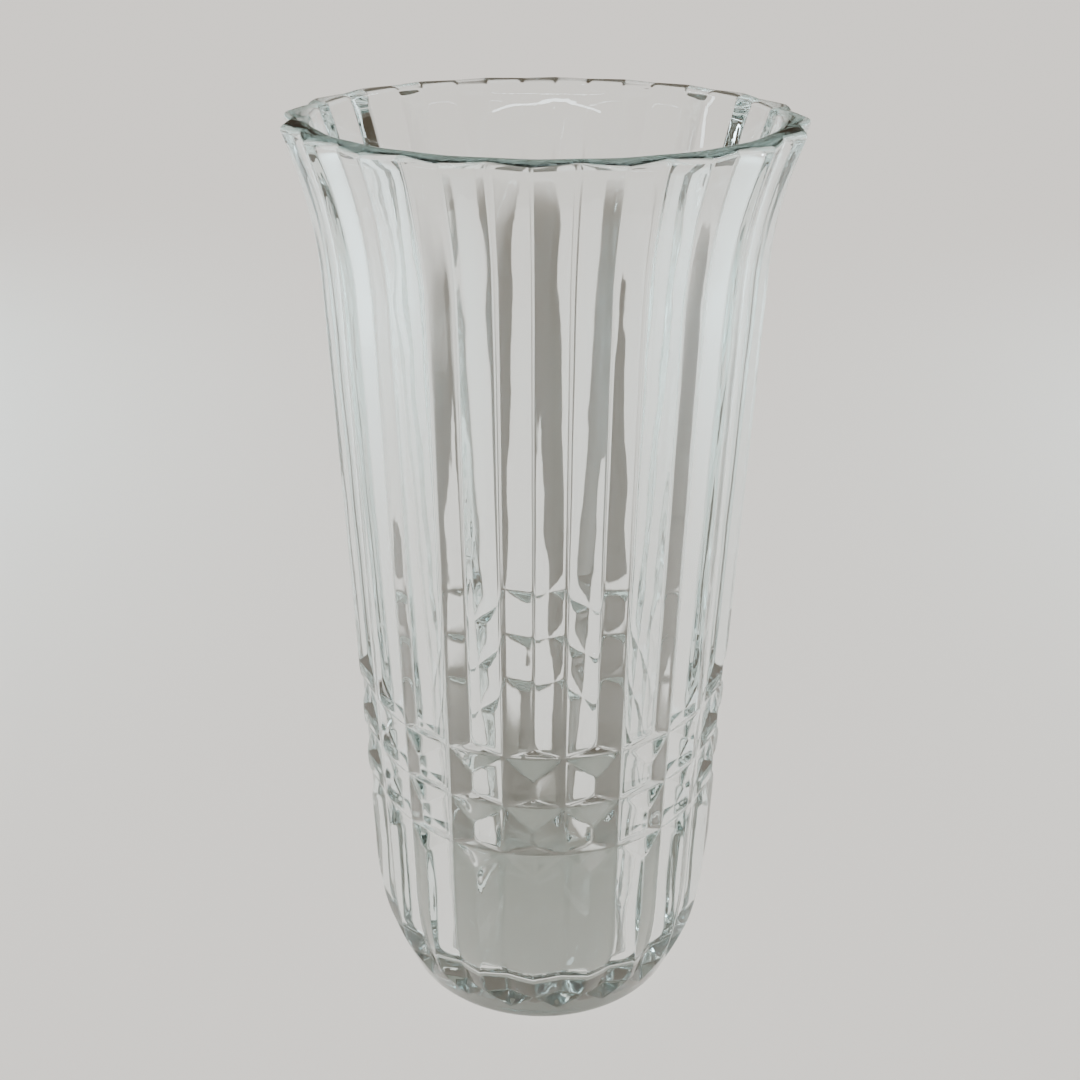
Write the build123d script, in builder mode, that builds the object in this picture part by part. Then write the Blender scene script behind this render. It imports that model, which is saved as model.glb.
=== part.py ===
"""Pressed-glass flower vase: one piece of clear glass, 250 mm tall.

Twenty sharp ribs run up the outside from a smooth foot to a flared, scalloped rim. Three V-cuts go
round the body across them, so that between the cuts the ribs become two rows of hip-roofed blocks.
The cavity is smooth and drafted, with a rounded corner above a thick bottom. The vase stands on a
flat ring around a shallow hollow in the underside.

The base plane is Z = 0 and the axis of the vase is Z. A rib crest lies on each of +X, +Y, -X and -Y.
"""

from build123d import *
from math import cos, pi, sin, sqrt
import os

# Overall outline, taken over the rib crests, mm
height = 250.0
rim_r = 65.0
shoulder_r = 57.2
shoulder_z = 212.0  # the straight wall ends here and the flare begins
waist_r = 50.5
waist_z = 45.0  # the straight wall begins here, on top of the bowl

# Bowl under the waist: part of an ellipse
bowl_width = 20.0
bowl_drop = 50.0

# Ribs
rib_count = 20
rib_rise = 2.6  # crest above the groove beside it
groove_floor = 1.3  # width of the narrow flat at the bottom of an upright groove
bowl_start_z = 12.5  # below this the ribs go straight down into the foot

# V-cuts round the body
cut_pitch = 15.6
cut_count = 3
top_cut_z = 95.0
cut_half_width = 4.7  # measured at the crests
cut_overshoot = 1.0  # how far the cutter stands out past the crests
cut_extra_depth = 0.1  # below the floor of the upright grooves

# Foot: a cone that trims the ends of the ribs, rounded into the base
foot_base_r = 40.1
foot_top_r = 48.9
foot_top_z = 20.0
foot_round = 3.0
ring_inner_r = 31.0
hollow_depth = 1.6

# Cavity
cavity_floor_z = 14.0
cavity_corner_r = 9.0
cavity_low_r = 40.6  # at the cavity's floor, before the corner is rounded
cavity_shoulder_r = 49.8
mouth_r = 57.2
lip_round = 1.4
lip_bevel = 1.2  # outer edge of the rim

clearance = 1.0  # cutters reach this far past the faces they leave by


def crest_r(z):
    """Radius of the rib crests at height z, from the bowl up to the rim."""
    if z < waist_z:
        fall = (waist_z - z) / bowl_drop
        return waist_r - bowl_width * (1 - sqrt(1 - fall**2))
    slope = (shoulder_r - waist_r) / (shoulder_z - waist_z)
    straight_r = waist_r + slope * (z - waist_z)
    flare_height = height - lip_bevel - shoulder_z
    flare_reach = rim_r - shoulder_r - slope * flare_height
    along = max(0.0, z - shoulder_z) / flare_height
    return straight_r + flare_reach * along**2


def ribbed_outline(crest):
    """Corners of the outline across the ribs: for each rib its crest, then the groove's flat."""
    bottom = crest - rib_rise
    half_flat = groove_floor / 2 / bottom
    corners = []
    for rib in range(rib_count):
        crest_angle = rib * 2 * pi / rib_count
        groove_angle = crest_angle + pi / rib_count
        corners.append((crest * cos(crest_angle), crest * sin(crest_angle)))
        for angle in (groove_angle - half_flat, groove_angle + half_flat):
            corners.append((bottom * cos(angle), bottom * sin(angle)))
    return corners


# The ribbed blank is lofted in three stretches: lower end, upper end, number of steps between them
bowl = (bowl_start_z, waist_z, 5)
straight_wall = (waist_z, shoulder_z, 1)
flare = (shoulder_z, height - lip_bevel, 5)

with BuildPart() as vase_body:
    # The ribbed blank
    for low_z, high_z, steps in (bowl, straight_wall, flare):
        for step in range(steps + 1):
            level = low_z + (high_z - low_z) * step / steps
            with BuildSketch(Plane.XY.offset(level)):
                with BuildLine():
                    Polyline(ribbed_outline(crest_r(level)), close=True)
                make_face()
        loft()

    # Below the bowl the ribs go straight down
    with BuildSketch(Plane.XY):
        with BuildLine():
            Polyline(ribbed_outline(crest_r(bowl_start_z)), close=True)
        make_face()
    extrude(amount=bowl_start_z)

    # The outer edge of the rim is bevelled
    for level, inset in ((height - lip_bevel, 0.0), (height, lip_bevel)):
        with BuildSketch(Plane.XY.offset(level)):
            with BuildLine():
                Polyline(ribbed_outline(rim_r - inset), close=True)
            make_face()
    loft()

    # The foot trims the lower ends of the ribs, and the grooves run out above it
    with BuildSketch(Plane.XZ):
        with BuildLine():
            Polyline(
                (0, 0),
                (foot_base_r, 0),
                (foot_top_r, foot_top_z),
                (rim_r + clearance, foot_top_z),
                (rim_r + clearance, height + clearance),
                (0, height + clearance),
                close=True,
            )
        make_face()
        fillet(vertices().group_by(Axis.Y)[0].sort_by(Axis.X)[-1], radius=foot_round)
    revolve(axis=Axis.Z, mode=Mode.INTERSECT)

    # The hollow in the underside
    with BuildSketch(Plane.XZ):
        with BuildLine():
            Polyline((0, hollow_depth), (0, -clearance), (ring_inner_r, -clearance), (ring_inner_r, 0))
            TangentArc((0, hollow_depth), (ring_inner_r, 0), tangent=(1, 0))
        make_face()
    revolve(axis=Axis.Z, mode=Mode.SUBTRACT)

    # The cavity, with the inner edge of the lip rounded
    with BuildSketch(Plane.XZ):
        with BuildLine():
            wall_run = (cavity_shoulder_r - cavity_low_r, shoulder_z - cavity_floor_z)
            Polyline((0, cavity_floor_z), (cavity_low_r, cavity_floor_z), (cavity_shoulder_r, shoulder_z))
            Spline(
                (cavity_shoulder_r, shoulder_z),
                (mouth_r, height - lip_round),
                tangents=(wall_run, (mouth_r - cavity_shoulder_r, (height - shoulder_z) / 2)),
            )
            CenterArc((mouth_r + lip_round, height - lip_round), lip_round, 180, -90)
            Polyline(
                (mouth_r + lip_round, height),
                (mouth_r + lip_round, height + clearance),
                (0, height + clearance),
                (0, cavity_floor_z),
            )
        make_face()
        fillet(vertices().group_by(Axis.Y)[0].sort_by(Axis.X)[-1], radius=cavity_corner_r)
    revolve(axis=Axis.Z, mode=Mode.SUBTRACT)

    # The V-cuts round the body
    for index in range(cut_count):
        cut_z = top_cut_z - index * cut_pitch
        crest = crest_r(cut_z)
        depth = rib_rise + cut_extra_depth
        outer_half = cut_half_width * (depth + cut_overshoot) / depth
        with BuildSketch(Plane.XZ):
            with BuildLine():
                Polyline(
                    (crest - depth, cut_z),
                    (crest + cut_overshoot, cut_z - outer_half),
                    (crest + cut_overshoot, cut_z + outer_half),
                    close=True,
                )
            make_face()
        revolve(axis=Axis.Z, mode=Mode.SUBTRACT)

vase_body.part.label = "vase_body"

os.makedirs("parts", exist_ok=True)
export_step(vase_body.part, "parts/vase_body.step")
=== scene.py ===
from math import cos, pi, radians, sin

import bpy
import numpy as np
from mathutils import Matrix, Vector


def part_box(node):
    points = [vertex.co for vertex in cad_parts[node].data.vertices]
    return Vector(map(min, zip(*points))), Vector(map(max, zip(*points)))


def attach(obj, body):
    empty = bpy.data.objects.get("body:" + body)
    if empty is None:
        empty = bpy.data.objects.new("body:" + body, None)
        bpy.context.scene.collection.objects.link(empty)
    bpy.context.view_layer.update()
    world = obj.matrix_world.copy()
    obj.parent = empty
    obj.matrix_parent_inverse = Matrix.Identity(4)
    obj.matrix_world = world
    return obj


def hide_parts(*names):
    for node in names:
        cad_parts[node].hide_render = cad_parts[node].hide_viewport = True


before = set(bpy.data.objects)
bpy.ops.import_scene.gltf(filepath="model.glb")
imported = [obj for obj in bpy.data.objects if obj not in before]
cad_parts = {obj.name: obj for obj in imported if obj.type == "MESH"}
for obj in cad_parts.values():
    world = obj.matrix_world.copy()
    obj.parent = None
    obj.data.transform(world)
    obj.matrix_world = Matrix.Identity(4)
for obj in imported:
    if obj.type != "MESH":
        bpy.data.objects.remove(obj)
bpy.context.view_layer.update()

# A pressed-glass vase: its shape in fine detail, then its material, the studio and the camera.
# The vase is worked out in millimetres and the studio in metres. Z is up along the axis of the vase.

MM = 0.001

# ---------------------------------------------------------------- sizes, the CAD model's but for the lip

_, top_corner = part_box("vase_body")
HEIGHT = top_corner[2] / MM
RIM_R = top_corner[0] / MM

RIB_COUNT = 20
RIB_RISE = 2.6  # crest above the groove beside it
GROOVE_FLOOR = 1.3  # width of the narrow flat at the bottom of a groove

SHOULDER_R, SHOULDER_Z = 57.2, 212.0  # the straight wall ends here and the flare begins
WAIST_R, WAIST_Z = 50.5, 45.0  # the straight wall begins here, on top of the bowl
BOWL_WIDTH, BOWL_DROP = 20.0, 50.0
BOWL_START_Z = 12.5  # below this the ribs go straight down into the foot

CUT_ZS = (63.8, 79.4, 95.0)
CUT_HALF_WIDTH = 4.7

FOOT_BASE_R = 40.1
FOOT_FLARE = 0.44  # the foot's cone widens this much per mm of height
FOOT_ROUND = 3.0
FOOT_ROUND_R = 38.14  # where the flat ring meets the rounding
RING_INNER_R = 31.0
HOLLOW_DEPTH = 1.6

CAVITY_FLOOR_Z = 14.0
CAVITY_CORNER = 9.0
CAVITY_LOW_R = 40.6
CAVITY_SHOULDER_R = 49.8
MOUTH_R = 57.2
LIP_DEPTH = 1.7  # height of the lip, which is evenly rounded here
LIP_Z = HEIGHT - LIP_DEPTH
LIP_POWERS = (0.72, 0.8)  # across and up; under 1 they make the lip's half-round fuller

# Fire polishing softens every edge a little
CREST_SOFTNESS = 0.30
CUT_SOFTNESS = 0.22
EDGE_SOFTNESS = 0.16
SHARP_TURN = radians(18)  # the hips of the blocks turn by more than this, and the rounded crests by less

# Faint waves of moulded glass: number round the vase, turn per mm of height, start, strength
WAVE_HEIGHT = 0.05
WAVES = (
    (3, 0.045, 0.4, 1.0),
    (7, -0.11, 1.9, 1.0),
    (13, 0.21, 4.0, 0.8),
    (29, -0.16, 2.2, 0.7),
)
INNER_WAVE_TURN, INNER_WAVE_STRETCH = 1.3, 1.3  # the cavity's waves don't follow those outside

# ---------------------------------------------------------------- how fine the mesh is

# Columns from a crest towards the flat of a groove, as shares of the way to the groove's middle
ACROSS = (0.0, 0.03, 0.08, 0.18, 0.34, 0.52, 0.70, 0.84)
BESIDE_FLAT_EDGE = (-0.015, 0.02)  # two more columns, just before and just after the flat's edge

# Rows up the outside, each stretch with the height where it begins and its number of rows
FOOT_ROWS_Z, FOOT_ROWS = 2.2, 6
LOW_BOWL_ROWS_Z, LOW_BOWL_ROWS = 13.0, 7
BOWL_ROWS_Z, BOWL_ROWS = 16.0, 24
BLOCK_ROWS = 5  # from the top of one cut to the next, and from the last cut to the plain wall
WALL_ROWS_Z, WALL_ROWS = 112.0, 12
FLARE_ROWS = 22
CUT_FIRST_STEP = 0.02  # from the bottom of a cut to the row beside it, as a share of its half width

# Rings in the rest of the surface
HOLLOW_FIRST_R, HOLLOW_RINGS = 4.0, 7
RING_MIDDLE_R = 34.0
FOOT_ROUND_TURNS = (-75, -60, -48, -36)  # degrees from level
LIP_RINGS = 19
CAVITY_FLARE_RINGS, CAVITY_WALL_RINGS, CAVITY_CORNER_RINGS = 16, 18, 10
CAVITY_LAST_R, CAVITY_FLOOR_RINGS = 2.0, 7

# ---------------------------------------------------------------- shape of the vase


def soft_min(a, b, softness):
    """The smaller of two heights, with the edge where they meet rounded off."""
    return 0.5 * (a + b - np.sqrt((a - b) ** 2 + softness**2))


def soft_distance(d, softness):
    """Distance from a line, with its sharp turn at zero rounded off."""
    return np.sqrt(d**2 + softness**2) - softness


def crest_radius(z):
    """Distance from the axis to the rib crests at height z."""
    z = np.clip(z, BOWL_START_Z, LIP_Z)
    slope = (SHOULDER_R - WAIST_R) / (SHOULDER_Z - WAIST_Z)
    fall = np.clip((WAIST_Z - z) / BOWL_DROP, 0, 1)
    flare_height = LIP_Z - SHOULDER_Z
    flare_reach = RIM_R - SHOULDER_R - slope * flare_height
    along = np.clip((z - SHOULDER_Z) / flare_height, 0, 1)
    bowl = BOWL_WIDTH * (1 - np.sqrt(1 - fall**2))
    return WAIST_R + slope * np.maximum(z - WAIST_Z, 0) - bowl + flare_reach * along**2


def cavity_radius(z):
    """Distance from the axis to the cavity's wall at height z, above its rounded corner."""
    slope = (CAVITY_SHOULDER_R - CAVITY_LOW_R) / (SHOULDER_Z - CAVITY_FLOOR_Z)
    flare_height = LIP_Z - SHOULDER_Z
    flare_reach = MOUTH_R - CAVITY_SHOULDER_R - slope * flare_height
    along = np.clip((z - SHOULDER_Z) / flare_height, 0, 1)
    return CAVITY_LOW_R + slope * (z - CAVITY_FLOOR_Z) + flare_reach * along**2


def flat_edge(z):
    """Where the flat of a groove begins at height z, as a share of the way to the groove's middle."""
    return 1 - GROOVE_FLOOR * RIB_COUNT / (2 * pi * crest_radius(z))


def outer_radius(across, z):
    """Distance from the axis to the outside; across runs from 0 on a crest to 1 in a groove."""
    crest = crest_radius(z)
    half_pitch = pi * crest / RIB_COUNT
    slope = RIB_RISE / (half_pitch - GROOVE_FLOOR / 2)
    rib = RIB_RISE - slope * soft_distance(across * half_pitch, CREST_SOFTNESS)
    relief = -soft_min(-rib, np.zeros_like(rib), EDGE_SOFTNESS)
    for cut_z in CUT_ZS:
        from_cut = abs(z - cut_z)
        if from_cut < 2 * CUT_HALF_WIDTH:
            hip = RIB_RISE * soft_distance(from_cut, CUT_SOFTNESS) / CUT_HALF_WIDTH
            relief = soft_min(relief, hip, EDGE_SOFTNESS)
    radius = crest - RIB_RISE + relief
    if z < 2 * BOWL_START_Z:
        radius = soft_min(radius, FOOT_BASE_R + FOOT_FLARE * z, EDGE_SOFTNESS)
    return radius


def waves(angles, z):
    """Faint waviness of the moulded surface, from 0 down to minus twice WAVE_HEIGHT."""
    total = 0
    for count, tilt, start, strength in WAVES:
        total = total + strength * np.sin(count * angles + tilt * z + start)
    full_strength = sum(strength for *_, strength in WAVES)
    return WAVE_HEIGHT * (total / full_strength - 1)


# ---------------------------------------------------------------- mesh of the vase


def column_angles():
    """Angle of each column of the mesh, and how far across its rib it lies, from a crest's 0 to 1."""
    edge = flat_edge(WAIST_Z)
    half = [*ACROSS, *(edge + step for step in BESIDE_FLAT_EDGE), 1.0]
    back = half[-2:0:-1]
    pitch = 2 * pi / RIB_COUNT
    steps = half + [2 - across for across in back]
    angles = [(rib + step / 2) * pitch for rib in range(RIB_COUNT) for step in steps]
    return np.array(angles), np.array((half + back) * RIB_COUNT)


def spread(low, high, count):
    """Evenly spaced values from low up to but not including high."""
    return [low + (high - low) * i / count for i in range(count)]


def wall_heights():
    """Heights of the mesh's rows on the outside. Rows meet columns on the hips and on the foot's edge."""
    start_r = crest_radius(BOWL_START_Z)
    crest_end = (start_r - FOOT_BASE_R) / FOOT_FLARE
    groove_end = (start_r - RIB_RISE - FOOT_BASE_R) / FOOT_FLARE
    fall = (crest_end - groove_end) / flat_edge(BOWL_START_Z)
    heights = spread(FOOT_ROWS_Z, groove_end, FOOT_ROWS) + [groove_end]
    heights += [crest_end - fall * across for across in ACROSS[:1:-1]] + [BOWL_START_Z]
    heights += spread(LOW_BOWL_ROWS_Z, BOWL_ROWS_Z, LOW_BOWL_ROWS)
    heights += spread(BOWL_ROWS_Z, CUT_ZS[0] - CUT_HALF_WIDTH, BOWL_ROWS)
    block_ends = [cut_z - CUT_HALF_WIDTH for cut_z in CUT_ZS[1:]] + [WALL_ROWS_Z]
    for cut_z, block_end in zip(CUT_ZS, block_ends):
        steps = [CUT_FIRST_STEP] + [1 - across / flat_edge(cut_z) for across in ACROSS[:0:-1]]
        heights += [cut_z - CUT_HALF_WIDTH * step for step in [1.0] + steps[::-1]] + [cut_z]
        heights += [cut_z + CUT_HALF_WIDTH * step for step in steps]
        heights += spread(cut_z + CUT_HALF_WIDTH, block_end, BLOCK_ROWS)
    heights += spread(WALL_ROWS_Z, SHOULDER_Z, WALL_ROWS)
    heights += spread(SHOULDER_Z, LIP_Z, FLARE_ROWS)
    return heights


def ring(angles, radius, z):
    """One ring of the surface: the distance from the axis and the height of each of its points."""
    ones = np.ones_like(angles)
    return radius * ones, z * ones


def foot_rings(angles):
    """The hollow in the underside, from its middle, then the flat ring and the foot's rounded edge."""
    rings = []
    for r in spread(HOLLOW_FIRST_R, RING_INNER_R, HOLLOW_RINGS):
        rings.append(ring(angles, r, HOLLOW_DEPTH * (1 - (r / RING_INNER_R) ** 2)))
    for r in (RING_INNER_R, RING_MIDDLE_R, FOOT_ROUND_R):
        rings.append(ring(angles, r, 0))
    for turn in map(radians, FOOT_ROUND_TURNS):
        rings.append(ring(angles, FOOT_ROUND_R + FOOT_ROUND * cos(turn), FOOT_ROUND + FOOT_ROUND * sin(turn)))
    return rings


def wall_rings(angles, across):
    """Up the ribbed outside, from the foot to the lip."""
    return [ring(angles, outer_radius(across, z) + waves(angles, z), z) for z in wall_heights()]


def lip_rings(angles, across):
    """The lip, a full half-round from the outside to the cavity."""
    outside = outer_radius(across, LIP_Z) + waves(angles, LIP_Z)
    inside = cavity_radius(LIP_Z)
    middle = (outside + inside) / 2
    half = (outside - inside) / 2
    across_power, up_power = LIP_POWERS
    rings = []
    for turn in np.linspace(0, pi, LIP_RINGS):
        reach = np.sign(cos(turn)) * abs(cos(turn)) ** across_power
        rings.append(ring(angles, middle + half * reach, LIP_Z + LIP_DEPTH * sin(turn) ** up_power))
    return rings


def cavity_rings(angles):
    """Down the cavity's wall, round its corner and in across its floor."""
    corner_z = CAVITY_FLOOR_Z + CAVITY_CORNER
    heights = spread(LIP_Z, SHOULDER_Z, CAVITY_FLARE_RINGS)[1:]
    heights += spread(SHOULDER_Z, corner_z, CAVITY_WALL_RINGS)
    rings = []
    for z in heights:
        inner_waves = waves(angles + INNER_WAVE_TURN, z * INNER_WAVE_STRETCH)
        rings.append(ring(angles, cavity_radius(z) - inner_waves, z))
    corner_r = cavity_radius(corner_z) - CAVITY_CORNER
    for turn in np.linspace(0, pi / 2, CAVITY_CORNER_RINGS):
        rings.append(ring(angles, corner_r + CAVITY_CORNER * cos(turn), corner_z - CAVITY_CORNER * sin(turn)))
    for r in spread(corner_r, CAVITY_LAST_R, CAVITY_FLOOR_RINGS)[1:]:
        rings.append(ring(angles, r, CAVITY_FLOOR_Z))
    return rings


def glass_faces(rings, columns):
    """Triangles between the rings, and a fan round each of the two middle points."""
    last_ring = 1 + (len(rings) - 1) * columns
    last_point = last_ring + columns
    faces = []
    for column in range(columns):
        after = (column + 1) % columns
        faces.append((0, 1 + after, 1 + column))
        faces.append((last_point, last_ring + column, last_ring + after))
        for row in range(len(rings) - 1):
            a = 1 + row * columns + column
            b = 1 + row * columns + after
            c = b + columns
            d = a + columns
            # A quad splits along the diagonal that stands further out, so that hips stay crisp
            here, _ = rings[row]
            above, _ = rings[row + 1]
            if here[column] + above[after] >= here[after] + above[column]:
                faces += [(a, b, c), (a, c, d)]
            else:
                faces += [(a, b, d), (b, c, d)]
    return faces


def build_glass():
    """The vase as one closed mesh, from the middle of the underside to the middle of the cavity's floor."""
    angles, across = column_angles()
    rings = foot_rings(angles) + wall_rings(angles, across) + lip_rings(angles, across) + cavity_rings(angles)
    points = [(0.0, 0.0, HOLLOW_DEPTH)]
    for radius, z in rings:
        points += zip(radius * np.cos(angles), radius * np.sin(angles), z)
    points.append((0.0, 0.0, CAVITY_FLOOR_Z))
    mesh = bpy.data.meshes.new("vase_glass")
    mesh.from_pydata([Vector(point) * MM for point in points], [], glass_faces(rings, len(angles)))
    mesh.validate()
    mesh.shade_smooth()
    mesh.set_sharp_from_angle(angle=SHARP_TURN)
    vase = bpy.data.objects.new("vase_glass", mesh)
    bpy.context.scene.collection.objects.link(vase)
    return vase


# ---------------------------------------------------------------- materials

GLASS_COLOUR = (0.985, 0.995, 0.995, 1)
GLASS_INDEX = 1.52
DEPTH_COLOUR, DEPTH_DENSITY = (0.55, 0.90, 0.89, 1), 4.0  # a faint aqua tint that grows with thickness
SHADOW_PASS = (0.44, 0.43, 0.405, 1)  # how much of the lamps' light each surface passes to the shadow

# Soft ripples, and the upright streaks that the plunger and the mould leave: scale, then how much the
# pattern is packed along X, Y and Z, where less than 1 draws it out
RIPPLES = ((160, (1, 1, 1)), (330, (1, 1, 0.07)))
RIPPLE_STRENGTH, RIPPLE_DEPTH = 0.05, 0.0002

FLOOR_COLOUR = (0.80, 0.77, 0.725, 1)


def new_material(name):
    """An empty node material, with its tree and its output."""
    material = bpy.data.materials.new(name)
    material.use_nodes = True
    tree = material.node_tree
    tree.nodes.clear()
    return material, tree, tree.nodes.new("ShaderNodeOutputMaterial")


def add_ripples(tree, shader):
    """Very faint relief on the surface, one bump on top of the other."""
    link = tree.links.new
    place = tree.nodes.new("ShaderNodeTexCoord")
    relief = None
    for scale, stretch in RIPPLES:
        mapping = tree.nodes.new("ShaderNodeMapping")
        mapping.inputs["Scale"].default_value = stretch
        link(place.outputs["Object"], mapping.inputs["Vector"])
        noise = tree.nodes.new("ShaderNodeTexNoise")
        noise.inputs["Scale"].default_value = scale
        noise.inputs["Detail"].default_value = 2
        link(mapping.outputs[0], noise.inputs["Vector"])
        bump = tree.nodes.new("ShaderNodeBump")
        bump.inputs["Strength"].default_value = RIPPLE_STRENGTH
        bump.inputs["Distance"].default_value = RIPPLE_DEPTH
        link(noise.outputs["Fac"], bump.inputs["Height"])
        if relief is not None:
            link(relief, bump.inputs["Normal"])
        relief = bump.outputs["Normal"]
    link(relief, shader.inputs["Normal"])


def glass_material():
    """Clear pressed glass, faintly aqua in depth, with soft ripples and a shadow that isn't solid."""
    material, tree, output = new_material("clear_glass")
    link = tree.links.new
    glass = tree.nodes.new("ShaderNodeBsdfPrincipled")
    glass.inputs["Base Color"].default_value = GLASS_COLOUR
    glass.inputs["Transmission Weight"].default_value = 1.0
    glass.inputs["IOR"].default_value = GLASS_INDEX
    glass.inputs["Roughness"].default_value = 0.0
    add_ripples(tree, glass)

    clear = tree.nodes.new("ShaderNodeBsdfTransparent")
    clear.inputs["Color"].default_value = SHADOW_PASS
    path = tree.nodes.new("ShaderNodeLightPath")
    mix = tree.nodes.new("ShaderNodeMixShader")
    link(path.outputs["Is Shadow Ray"], mix.inputs[0])
    link(glass.outputs[0], mix.inputs[1])
    link(clear.outputs[0], mix.inputs[2])
    link(mix.outputs[0], output.inputs["Surface"])

    tint = tree.nodes.new("ShaderNodeVolumeAbsorption")
    tint.inputs["Color"].default_value = DEPTH_COLOUR
    tint.inputs["Density"].default_value = DEPTH_DENSITY
    link(tint.outputs[0], output.inputs["Volume"])
    return material


def floor_material():
    """A plain pale table top, the same for every ray."""
    material, tree, output = new_material("pale_floor")
    matt = tree.nodes.new("ShaderNodeBsdfDiffuse")
    matt.inputs["Color"].default_value = FLOOR_COLOUR
    tree.links.new(matt.outputs[0], output.inputs["Surface"])
    return material


# ---------------------------------------------------------------- studio

FLOOR_R = 25
FLOOR_GAP = 0.0002  # keeps the floor and the foot's ring from lying in one plane
ROOM_COLOUR = (0.100, 0.079, 0.057, 1)

SUN_STRENGTH, SUN_WIDTH = 20.0, radians(4)
SUN_FROM = (0.03, -1.0, 0.22)

# Two lamps that brighten the floor at the sides: name, place, the spot that it lights, watts
DAYLIGHT = (0.60, 0.88, 1.0)
SIDE_LAMP_WIDTH, SIDE_LAMP_SPREAD = 0.35, radians(90)
SIDE_LAMPS = (
    ("left_softbox", (-0.85, 0.25, 0.55), (-0.75, 0.30, 0.0), 3.5),
    ("right_softbox", (0.85, 0.35, 0.55), (0.75, 0.35, 0.0), 3.0),
)

# Lamps for highlights, aimed at the vase's middle, that don't light the floor directly:
# name, place, width, length, watts
COOL_WHITE = (0.80, 0.95, 1.0)
VASE_MIDDLE = (0, 0, 0.12)
HIGHLIGHT_LAMPS = (
    ("overhead_softbox", (0.2, 0.3, 1.5), 0.4, 0.4, 0.7),
    ("front_tube_near", (0.05, -1.50, 1.05), 1.9, 0.014, 2.4),
    ("front_tube_far", (0.05, -1.55, 1.70), 1.9, 0.014, 2.4),
    ("left_strip", (-0.80, 0.10, 0.50), 0.03, 0.9, 1.6),
    ("right_strip", (0.75, 0.45, 0.50), 0.03, 0.9, 1.6),
)


def build_floor():
    """A wide round table top just under the foot, which isn't part of the object."""
    bpy.ops.mesh.primitive_circle_add(vertices=96, radius=FLOOR_R, fill_type="NGON")
    floor = bpy.context.object
    floor.name = "studio_floor"
    floor.location.z = -FLOOR_GAP
    floor.data.materials.append(floor_material())


def build_world():
    """Plain warm surroundings, one colour all round and the same for every ray."""
    world = bpy.data.worlds.new("studio")
    bpy.context.scene.world = world
    world.use_nodes = True
    background = world.node_tree.nodes["Background"]
    background.inputs["Color"].default_value = ROOM_COLOUR
    background.inputs["Strength"].default_value = 1.0


def front_sun():
    """The main light: an even one from the front, whose long soft shadow shows through the glass."""
    light = bpy.data.lights.new("front_sun", "SUN")
    light.energy = SUN_STRENGTH
    light.angle = SUN_WIDTH
    lamp = bpy.data.objects.new("front_sun", light)
    lamp.matrix_world = Vector(SUN_FROM).to_track_quat("Z", "Y").to_matrix().to_4x4()
    lamp.visible_glossy = False
    lamp.visible_transmission = False
    bpy.context.scene.collection.objects.link(lamp)


def area_light(name, place, target, width, length, watts, colour):
    """A rectangular lamp at a place, turned towards its target."""
    light = bpy.data.lights.new(name, "AREA")
    light.shape = "RECTANGLE"
    light.size = width
    light.size_y = length
    light.energy = watts
    light.color = colour
    lamp = bpy.data.objects.new(name, light)
    aim = Vector(target) - Vector(place)
    lamp.matrix_world = Matrix.Translation(place) @ aim.to_track_quat("-Z", "Y").to_matrix().to_4x4()
    bpy.context.scene.collection.objects.link(lamp)
    return lamp


def build_lights():
    """The main light, two lamps for the floor at the sides and the thin ones for highlights."""
    front_sun()
    for name, place, target, watts in SIDE_LAMPS:
        lamp = area_light(name, place, target, SIDE_LAMP_WIDTH, SIDE_LAMP_WIDTH, watts, DAYLIGHT)
        lamp.data.spread = SIDE_LAMP_SPREAD
    for name, place, width, length, watts in HIGHLIGHT_LAMPS:
        lamp = area_light(name, place, VASE_MIDDLE, width, length, watts, COOL_WHITE)
        lamp.visible_diffuse = False


# ---------------------------------------------------------------- camera

CAMERA_TURN = radians(2.46)  # round the vase, from -Y towards +X
CAMERA_DISTANCE, CAMERA_HEIGHT = 0.3769, 0.3102
CAMERA_PITCH, CAMERA_ROLL = radians(24.27), radians(0.33)
CAMERA_SENSOR, CAMERA_LENS = 36, 50
CAMERA_SHIFT_X, CAMERA_SHIFT_Y = -0.0031, -0.0184
CAMERA_NEAREST = 0.01


def build_camera():
    """A hand-held view from in front and above."""
    data = bpy.data.cameras.new("camera")
    data.sensor_width = CAMERA_SENSOR
    data.lens = CAMERA_LENS
    data.shift_x = CAMERA_SHIFT_X
    data.shift_y = CAMERA_SHIFT_Y
    data.clip_start = CAMERA_NEAREST
    camera = bpy.data.objects.new("camera", data)
    turn = Matrix.Rotation(CAMERA_TURN, 4, "Z")
    place = Matrix.Translation((0, -CAMERA_DISTANCE, CAMERA_HEIGHT))
    pitch = Matrix.Rotation(pi / 2 - CAMERA_PITCH, 4, "X")
    roll = Matrix.Rotation(CAMERA_ROLL, 4, "Z")
    camera.matrix_world = turn @ place @ pitch @ roll
    bpy.context.scene.collection.objects.link(camera)
    bpy.context.scene.camera = camera


# ---------------------------------------------------------------- light inside the glass

GLASS_BOUNCES, GLOSS_BOUNCES = 28, 16


def let_light_run_in_glass():
    """Follows light through many reflections inside the wall, which otherwise turns black."""
    paths = bpy.context.scene.cycles
    paths.max_bounces = GLASS_BOUNCES
    paths.transmission_bounces = GLASS_BOUNCES
    paths.glossy_bounces = GLOSS_BOUNCES


# ---------------------------------------------------------------- everything together

vase = build_glass()
vase.data.materials.append(glass_material())
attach(vase, "root")
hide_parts("vase_body")

build_floor()
build_world()
build_lights()
build_camera()
let_light_run_in_glass()
